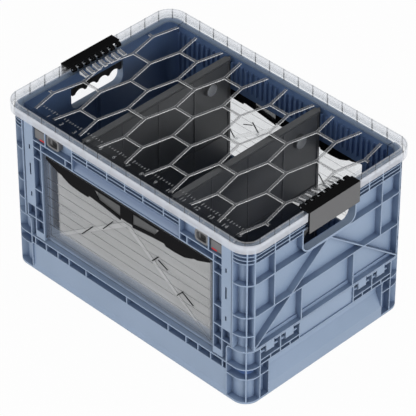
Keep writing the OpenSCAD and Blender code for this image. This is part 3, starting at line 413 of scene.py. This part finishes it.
def clear_door():
    finish = Finish("clear_door_plastic")
    point, (x, y, z) = finish.place()
    rounded = finish.soft_edges(0.0012)
    edge = finish.edge_mask(rounded)
    gloss = finish.add("ShaderNodeLayerWeight", {}, {"Blend": 0.22}, "Fresnel")
    clear = finish.add("ShaderNodeBsdfTransparent", {}, {"Color": (0.985, 0.988, 0.99)}, 0)
    streak = finish.noise(point, 14.0, 3.0, (0.4, 1.0, 4.0))
    scuff = finish.noise(point, 260.0, 2.0, (0.3, 1.0, 1.0))
    along = x * (1.0 - (y > 0.0) * 2.0)
    window = finish.band(z, window_low_z, window_high_z, 0.0006)
    window = window * finish.band(along, window_left, window_right, 0.0006)
    window = window * (0.35 + z.ramp(haze_low_z, haze_full_z) * 0.65)
    outside = (0.0 - y).ramp(0.0, 0.001)
    # the two openings of the catch are tinted darker and more solid
    opening_dark = (opening_half - abs(x)).ramp(0.0, 0.0005)
    opening_dark = opening_dark * (z - opening_low_z - abs(x) * opening_slope).ramp(0.0, 0.0006)
    opening_dark = opening_dark * (opening_high_z - z).ramp(0.0, 0.0006)
    pale = finish.blend(streak, (0.76, 0.77, 0.775), (0.90, 0.905, 0.91))
    clouded = finish.blend(window, (0.50, 0.53, 0.58), pale)
    face = finish.blend(opening_dark, clouded, (0.085, 0.087, 0.090))
    # the base colour carries painted shade as dark lines along the edges
    body = finish.add("ShaderNodeBsdfPrincipled", {}, {
        "Base Color": finish.blend(edge.ramp(0.0, 0.45) * 0.9, face, (0.06, 0.065, 0.075)),
        "Roughness": 0.20 + streak * 0.12 + scuff * 0.06,
        "Normal": rounded, "Specular IOR Level": 0.4}, 0)
    braces = finish.band(abs(y), brace_inner, brace_outer, 0.0001) * window * (1.0 - edge)
    haze = braces * 0.09 + window * (0.015 + outside * 0.20 + streak * 0.05)
    # the edges' painted shade lines are more solid on the outside
    outlines = edge.ramp(0.0, 0.5) * (0.10 + outside * 0.30)
    seen = (0.03 + outside * 0.02 + haze + gloss * 0.12 + outlines + opening_dark * 0.50).clamp()
    solid = seen.highest(finish.hides_light() * door_shade)
    return finish.surface(finish.add("ShaderNodeMixShader", {}, {0: solid, 1: clear, 2: body}, 0))


door_plastic = clear_door()
print("made", door_plastic.name)

# %% [markdown]
# ## Black, grey and red
# The lid latches and the door catches are black plastic, the grips in the hand
# holes are soft rubber, and the dividers and wall latches are grey. One function
# makes most of them from a colour, a paler colour for a painted highlight on the
# edges, a roughness and a grain, because they differ in nothing else. The wall of
# the dividers' round holes is tinted paler, a painted highlight. Two have more to
# say: the slot in a wall latch carries painted shade, as does the top of its plate,
# and the outer face of a lid latch's flap is tinted a mid grey.

# %% Plain moulded plastics
def moulded(name, colour, edge_highlight, rough, grain_mm, coarse=700.0, gloss=0.5, hole=None):
    finish = Finish(name)
    point, (x, y, z) = finish.place()
    rounded = finish.soft_edges(0.0009)
    edge = finish.edge_mask(rounded)
    cloud = finish.noise(point, 12.0, 3.0)
    speck = finish.noise(point, coarse, 2.0)
    darker = tuple(value * 0.86 for value in colour)
    body = finish.blend(cloud.ramp(0.3, 0.7), darker, colour)
    if hole:
        hole_y, hole_z, radius = hole
        # painted highlight: the wall inside the hole is tinted pale
        squared = (y - hole_y) * (y - hole_y) + (z - hole_z) * (z - hole_z)
        body = finish.blend(squared < radius * radius, body, (0.90, 0.905, 0.91))
    return finish.surface(finish.add("ShaderNodeBsdfPrincipled", {}, {
        # painted highlight: the edges are blended towards a paler colour
        "Base Color": finish.blend(edge * 0.5, body, edge_highlight),
        "Roughness": rough + speck * 0.10 + cloud * 0.05, "Specular IOR Level": gloss,
        "Normal": finish.grain(speck, grain_mm / 1000, rounded)}, 0))


ring_slot = (0.1800, 0.1930, 0.3120, 0.3290)  # a latch ring's slot, along x and up
plate_inner = 0.2060  # the shade on a latch's plate begins here along x, and here up
plate_shade_z = 0.3265
flap_start = 0.3063  # the flap of a lid latch lies outwards of this
# where the divider hole's painted highlight lies
divider_hole = (0.1310, 0.3030, 0.0123)  # its place along y and z, and its radius


def wall_latch_plastic():
    finish = Finish("latch_grey")
    point, (x, y, z) = finish.place()
    rounded = finish.soft_edges(0.0009)
    edge = finish.edge_mask(rounded)
    speck = finish.noise(point, 700.0, 2.0)
    # painted shade in the ring's slot
    slot = finish.band(abs(x), ring_slot[0], ring_slot[1], 0.0004)
    slot = slot * finish.band(z, ring_slot[2], ring_slot[3], 0.0004)
    # painted shadow along the top of the plate
    top_shade = (z - plate_shade_z).ramp(0.0, 0.0015) * (abs(x) - plate_inner).ramp(0.0, 0.0005)
    dark = slot.highest(top_shade * 0.8)
    body = finish.blend(dark, (0.160, 0.160, 0.166), (0.008, 0.009, 0.011))
    return finish.surface(finish.add("ShaderNodeBsdfPrincipled", {}, {
        # painted highlight: the edges are paler
        "Base Color": finish.blend(edge * 0.5, body, (0.27, 0.27, 0.28)),
        "Roughness": 0.42 + speck * 0.10, "Specular IOR Level": 0.4,
        "Normal": finish.grain(speck, 0.00004, rounded)}, 0))


def lid_latch_plastic():
    finish = Finish("latch_black")
    point, (x, y, z) = finish.place()
    rounded = finish.soft_edges(0.0009)
    edge = finish.edge_mask(rounded)
    speck = finish.noise(point, 800.0, 2.0)
    # the outer face of the flap is tinted a mid grey
    flap_grey = (abs(x) - flap_start).ramp(0.0, 0.0004) * abs(finish.facing()[0]).ramp(0.6, 0.9)
    body = finish.blend(flap_grey, (0.0035, 0.0035, 0.004), (0.158, 0.158, 0.161))
    return finish.surface(finish.add("ShaderNodeBsdfPrincipled", {}, {
        # painted highlight: the edges are paler
        "Base Color": finish.blend(edge * 0.35, body, (0.10, 0.10, 0.105)),
        "Roughness": 0.42 + speck * 0.10, "Specular IOR Level": 0.03,
        "Normal": finish.grain(speck, 0.00003, rounded)}, 0))


latch_black = lid_latch_plastic()
catch_black = moulded("catch_black", (0.006, 0.006, 0.007), (0.06, 0.06, 0.065),
                      rough=0.34, grain_mm=0.03, gloss=0.02)
grip_rubber = moulded("grip_rubber", (0.016, 0.016, 0.017), (0.05, 0.05, 0.05),
                      rough=0.58, grain_mm=0.06, coarse=1400.0)
latch_grey = wall_latch_plastic()
divider_grey = moulded("divider_grey", (0.205, 0.206, 0.210), (0.50, 0.50, 0.505),
                       rough=0.36, grain_mm=0.05, hole=divider_hole)
mark_red = moulded("mark_red", (0.66, 0.012, 0.025), (0.75, 0.08, 0.09),
                   rough=0.35, grain_mm=0.02)
print("six plastics made")

# %% [markdown]
# ## Steel pins
# The rods on which the lid latches turn are plain drawn steel. Drawing leaves fine
# lines along the rod, so the noise is stretched along it.

# %% Steel
def drawn_steel():
    finish = Finish("drawn_steel")
    point = finish.place()[0]
    lines = finish.noise(point, 1500.0, 2.0, (1.0, 0.02, 1.0))
    flat = finish.add("ShaderNodeNewGeometry", {}, {}, "Normal")
    return finish.surface(finish.add("ShaderNodeBsdfPrincipled", {}, {
        "Base Color": finish.blend(lines, (0.50, 0.51, 0.52), (0.60, 0.61, 0.62)),
        "Metallic": 1.0, "Roughness": 0.22 + lines * 0.15,
        "Normal": finish.grain(lines, 0.00002, flat)}, 0))


pin_steel = drawn_steel()
print("made", pin_steel.name)

# %% [markdown]
# ## Giving each node its finish
# Every CAD node has one material slot. The finish is put into that slot, so the
# mesh itself stays as it came.

# %% Finishes on the nodes
def finish_for(name):
    if name.endswith("_mark"):
        return mark_red
    if name.endswith("_latch_pin"):
        return pin_steel
    if name.endswith("_lid_latch"):
        return latch_black
    if name.endswith("_catch"):
        return catch_black
    if name.endswith("_grip"):
        return grip_rubber
    if name.endswith("_latch"):
        return latch_grey
    if name.endswith("_divider"):
        return divider_grey
    if name.endswith("_door"):
        return door_plastic
    if name == "lid":
        return lid_plastic
    return blue_plastic


for name, node in crate_nodes.items():
    if not node.material_slots:
        node.data.materials.append(None)
    for material_slot in node.material_slots:
        material_slot.material = finish_for(name)
print("finished", len(crate_nodes), "nodes")

# %% [markdown]
# ## Ruler marks along the lid
# A ruler is printed on the lid, inside its front edge: short ticks, a longer one at
# every fifth place, and plain numbers below. Ticks repeat by a rule, so Geometry Nodes
# make them: a line of points, a thin box on each, and the long ones picked by their
# number. The numbers are flat text, turned into mesh.

# %% Ruler ticks
lid_low_z = 0.3493
sheet_thick = 0.0025
print_z = lid_low_z + sheet_thick  # on the sheet's upper face
print_depth = 0.00025


def ruler_print():
    finish = Finish("ruler_print")
    point = finish.place()[0]
    cloud = finish.noise(point, 200.0, 2.0)
    return finish.surface(finish.add("ShaderNodeBsdfPrincipled", {}, {
        "Base Color": finish.blend(cloud, (0.30, 0.31, 0.32), (0.38, 0.39, 0.40)),
        "Roughness": 0.35 + cloud * 0.1}, 0))


ruler_ink = ruler_print()


def add_input(tree, name, kind, value):
    socket = tree.interface.new_socket(name=name, in_out="INPUT", socket_type=kind)
    socket.default_value = value
    return socket


def ruler_tree():
    tree = bpy.data.node_groups.new("ruler_ticks", "GeometryNodeTree")
    add_input(tree, "Ticks", "NodeSocketInt", 10)
    add_input(tree, "Pitch", "NodeSocketFloat", 0.01)
    add_input(tree, "Long every", "NodeSocketInt", 5)
    add_input(tree, "Width", "NodeSocketFloat", 0.001)
    add_input(tree, "Length", "NodeSocketFloat", 0.005)
    add_input(tree, "Thickness", "NodeSocketFloat", 0.0003)
    tree.interface.new_socket(name="Finish", in_out="INPUT", socket_type="NodeSocketMaterial")
    tree.interface.new_socket(name="Geometry", in_out="OUTPUT", socket_type="NodeSocketGeometry")
    nodes = tree.nodes
    links = tree.links
    given = nodes.new("NodeGroupInput")
    result = nodes.new("NodeGroupOutput")
    line = nodes.new("GeometryNodeMeshLine")
    step = nodes.new("ShaderNodeCombineXYZ")
    links.new(given.outputs["Pitch"], step.inputs["X"])
    links.new(given.outputs["Ticks"], line.inputs["Count"])
    links.new(step.outputs[0], line.inputs["Offset"])
    index = nodes.new("GeometryNodeInputIndex")
    rest = nodes.new("ShaderNodeMath")
    rest.operation = "MODULO"
    links.new(index.outputs[0], rest.inputs[0])
    links.new(given.outputs["Long every"], rest.inputs[1])
    is_long = nodes.new("ShaderNodeMath")
    is_long.operation = "LESS_THAN"
    is_long.inputs[1].default_value = 0.5
    links.new(rest.outputs[0], is_long.inputs[0])
    longer = nodes.new("ShaderNodeMath")
    longer.operation = "MULTIPLY_ADD"
    longer.inputs[1].default_value = 0.7
    longer.inputs[2].default_value = 1.0
    links.new(is_long.outputs[0], longer.inputs[0])
    size = nodes.new("ShaderNodeCombineXYZ")
    links.new(given.outputs["Width"], size.inputs["X"])
    links.new(given.outputs["Length"], size.inputs["Y"])
    links.new(given.outputs["Thickness"], size.inputs["Z"])
    tick = nodes.new("GeometryNodeMeshCube")
    links.new(size.outputs[0], tick.inputs["Size"])
    scale = nodes.new("ShaderNodeCombineXYZ")
    scale.inputs["X"].default_value = 1.0
    scale.inputs["Z"].default_value = 1.0
    links.new(longer.outputs[0], scale.inputs["Y"])
    spread = nodes.new("GeometryNodeInstanceOnPoints")
    links.new(line.outputs[0], spread.inputs["Points"])
    links.new(tick.outputs[0], spread.inputs["Instance"])
    links.new(scale.outputs[0], spread.inputs["Scale"])
    real = nodes.new("GeometryNodeRealizeInstances")
    links.new(spread.outputs[0], real.inputs[0])
    paint = nodes.new("GeometryNodeSetMaterial")
    links.new(real.outputs[0], paint.inputs["Geometry"])
    links.new(given.outputs["Finish"], paint.inputs["Material"])
    links.new(paint.outputs[0], result.inputs[0])
    return tree


def grow(name, tree, settings):
    """Runs a Geometry Nodes tree and returns its result as a plain mesh object."""
    seed = bpy.data.objects.new(name + "_seed", bpy.data.meshes.new(name + "_seed"))
    scene.collection.objects.link(seed)
    modifier = seed.modifiers.new("grow", "NODES")
    modifier.node_group = tree
    sockets = {item.name: item.identifier for item in tree.interface.items_tree
               if item.item_type == "SOCKET" and item.in_out == "INPUT"}
    for key, value in settings.items():
        modifier[sockets[key]] = value
    bpy.context.view_layer.update()
    depsgraph = bpy.context.evaluated_depsgraph_get()
    mesh = bpy.data.meshes.new_from_object(seed.evaluated_get(depsgraph))
    mesh.name = name
    seed.modifiers.remove(modifier)
    bpy.data.objects.remove(seed)
    made = bpy.data.objects.new(name, mesh)
    scene.collection.objects.link(made)
    return made


ruler_start = -0.255
ruler_pitch = 0.0068
tick_count = 76
ticks_a_number = 5
last_number = 15
tick_row_y = -0.163
number_row_y = -0.182
number_height = 0.013
ruler_ticks = grow("ruler_ticks", ruler_tree(), {
    "Ticks": tick_count, "Pitch": ruler_pitch, "Long every": ticks_a_number, "Width": 0.0011,
    "Length": 0.0046, "Thickness": print_depth, "Finish": ruler_ink})
ruler_ticks.data.transform(Matrix.Translation((ruler_start, tick_row_y, print_z)))
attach(ruler_ticks, "lid_body")
print("ruler ticks", len(ruler_ticks.data.vertices) // 8)

# %% Ruler numbers
def number_mesh(text, place, height):
    curve = bpy.data.curves.new("number", "FONT")
    curve.body = text
    curve.size = height
    curve.align_x = "CENTER"
    curve.extrude = print_depth / 2
    curve.resolution_u = 3
    writer = bpy.data.objects.new("number", curve)
    scene.collection.objects.link(writer)
    bpy.context.view_layer.update()
    mesh = bpy.data.meshes.new_from_object(writer)
    bpy.data.objects.remove(writer)
    mesh.transform(Matrix.Translation(place))
    return mesh


def ruler_numbers():
    gathered = bmesh.new()
    for count in range(1, last_number + 1):
        place = (ruler_start + ruler_pitch * ticks_a_number * count, number_row_y, print_z)
        gathered.from_mesh(number_mesh(str(count), place, number_height))
    mesh = bpy.data.meshes.new("ruler_numbers")
    gathered.to_mesh(mesh)
    gathered.free()
    mesh.materials.append(ruler_ink)
    made = bpy.data.objects.new("ruler_numbers", mesh)
    scene.collection.objects.link(made)
    return made


numbers = ruler_numbers()
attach(numbers, "lid_body")
print("ruler numbers", len(numbers.data.polygons), "faces")

# %% [markdown]
# ## Clips on the doors
# Small dark clips cross the braces of each door, near the middle of every brace.
# They are pressed into the moulding, so they ride on the doors. The front door's
# clips are laid out once, as lines in the door's plane, and the rear door has the
# same set turned half round.

# %% Door clips
clip_lines = [  # start and end along x and z, and the width
    ((-0.1176, 0.1545), (-0.0895, 0.1857), 0.0018),
    ((-0.0614, 0.1976), (-0.0358, 0.2280), 0.0018),
    ((0.0639, 0.1967), (0.0793, 0.2140), 0.0022),
    ((0.0793, 0.2070), (0.1023, 0.1973), 0.0014),
    ((0.1253, 0.1536), (0.1407, 0.1710), 0.0018),
    ((0.1380, 0.1694), (0.1660, 0.1534), 0.0014)]
clip_near = 0.1990  # how far out the clips begin and end
clip_far = 0.2003


def door_clips(name, side):
    """Flat bars along the clip lines, on the outer face of one door."""
    corners = []
    faces = []
    for start, end, width in clip_lines:
        along = (Vector(end) - Vector(start)).normalized()
        across = Vector((-along.y, along.x)) * width / 2
        outline = [Vector(start) - across, Vector(end) - across,
                   Vector(end) + across, Vector(start) + across]
        first = len(corners)
        for depth in (clip_near, clip_far):
            corners += [(-side * point.x, side * depth, point.y) for point in outline]
        faces += [tuple(first + i for i in face) for face in (
            (0, 3, 2, 1), (4, 5, 6, 7), (0, 1, 5, 4), (1, 2, 6, 5), (2, 3, 7, 6), (3, 0, 4, 7))]
    mesh = bpy.data.meshes.new(name)
    mesh.from_pydata(corners, [], faces)
    shaper = bmesh.new()
    shaper.from_mesh(mesh)
    bmesh.ops.recalc_face_normals(shaper, faces=shaper.faces)
    shaper.to_mesh(mesh)
    shaper.free()
    mesh.materials.append(catch_black)
    made = bpy.data.objects.new(name, mesh)
    scene.collection.objects.link(made)
    return made


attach(door_clips("front_door_clips", -1), "front_door_body")
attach(door_clips("rear_door_clips", 1), "rear_door_body")
print("clips on each door", len(clip_lines))

# %% [markdown]
# ## The studio
# The picture has a plain white ground. The floor is a large pale sheet that takes
# the crate's shadow; to the camera, in gloss and through clear plastic it shows
# nearly white. The walls are lit from the front left and from the right, low down,
# because the picture's ledges are darker than its upright faces.

# %% Floor and world
floor_glow = 0.975  # how white the floor is to the camera


def pale_floor():
    finish = Finish("pale_floor")
    path = finish.add("ShaderNodeLightPath", {}, {})
    seen = Wire(finish, path.outputs["Is Camera Ray"])
    for kind in ("Is Glossy Ray", "Is Transmission Ray"):
        seen = seen.highest(Wire(finish, path.outputs[kind]))
    lit = finish.add("ShaderNodeBsdfDiffuse", {}, {"Color": (0.55, 0.55, 0.55)}, 0)
    glow = finish.add("ShaderNodeEmission", {}, {"Color": (1.0, 1.0, 1.0), "Strength": 1.0}, 0)
    return finish.surface(finish.add(
        "ShaderNodeMixShader", {}, {0: seen * floor_glow, 1: lit, 2: glow}, 0))


floor_mesh = bpy.data.meshes.new("floor")
reach = 14.0
floor_corners = [(-reach, -reach, 0), (reach, -reach, 0), (reach, reach, 0), (-reach, reach, 0)]
floor_mesh.from_pydata(floor_corners, [], [(0, 1, 2, 3)])
floor_mesh.materials.append(pale_floor())
floor = bpy.data.objects.new("floor", floor_mesh)
scene.collection.objects.link(floor)
floor_drop = 0.0004  # keeps the floor clear of the crate's underside
floor.location.z = -floor_drop

world = bpy.data.worlds.new("studio")
scene.world = world
world.use_nodes = True
sky = world.node_tree
sky.nodes.clear()
sky_path = sky.nodes.new("ShaderNodeLightPath")
sky_seen = sky.nodes.new("ShaderNodeMath")
sky_seen.operation = "MAXIMUM"
sky.links.new(sky_path.outputs["Is Camera Ray"], sky_seen.inputs[0])
sky.links.new(sky_path.outputs["Is Transmission Ray"], sky_seen.inputs[1])
sky_mix = sky.nodes.new("ShaderNodeMixShader")
sky.links.new(sky_seen.outputs[0], sky_mix.inputs[0])
sky_lights = [((0.97, 0.985, 1.0, 1.0), 0.17), ((1.0, 1.0, 1.0, 1.0), 1.0)]
for place, (colour, strength) in enumerate(sky_lights):
    background = sky.nodes.new("ShaderNodeBackground")
    background.inputs["Color"].default_value = colour
    background.inputs["Strength"].default_value = strength
    sky.links.new(background.outputs[0], sky_mix.inputs[place + 1])
sky_out = sky.nodes.new("ShaderNodeOutputWorld")
sky.links.new(sky_mix.outputs[0], sky_out.inputs["Surface"])
print("floor and world set")

# %% Lamps
def soft_lamp(name, place, size, power, aim=(0.0, 0.0, 0.15)):
    data = bpy.data.lights.new(name, "AREA")
    data.shape = "RECTANGLE"
    data.size = size[0]
    data.size_y = size[1]
    data.energy = power
    lamp = bpy.data.objects.new(name, data)
    scene.collection.objects.link(lamp)
    lamp.location = place
    lamp.rotation_euler = (Vector(place) - Vector(aim)).to_track_quat("Z", "Y").to_euler()
    return lamp


soft_lamp("front_lamp", place=(-0.9, -3.6, 1.25), size=(3.2, 1.8), power=84)
soft_lamp("right_lamp", place=(3.5, -0.5, 1.25), size=(3.2, 1.8), power=100)
soft_lamp("top_lamp", place=(-0.6, 0.9, 2.6), size=(2.0, 2.0), power=20)
print("three soft lamps")
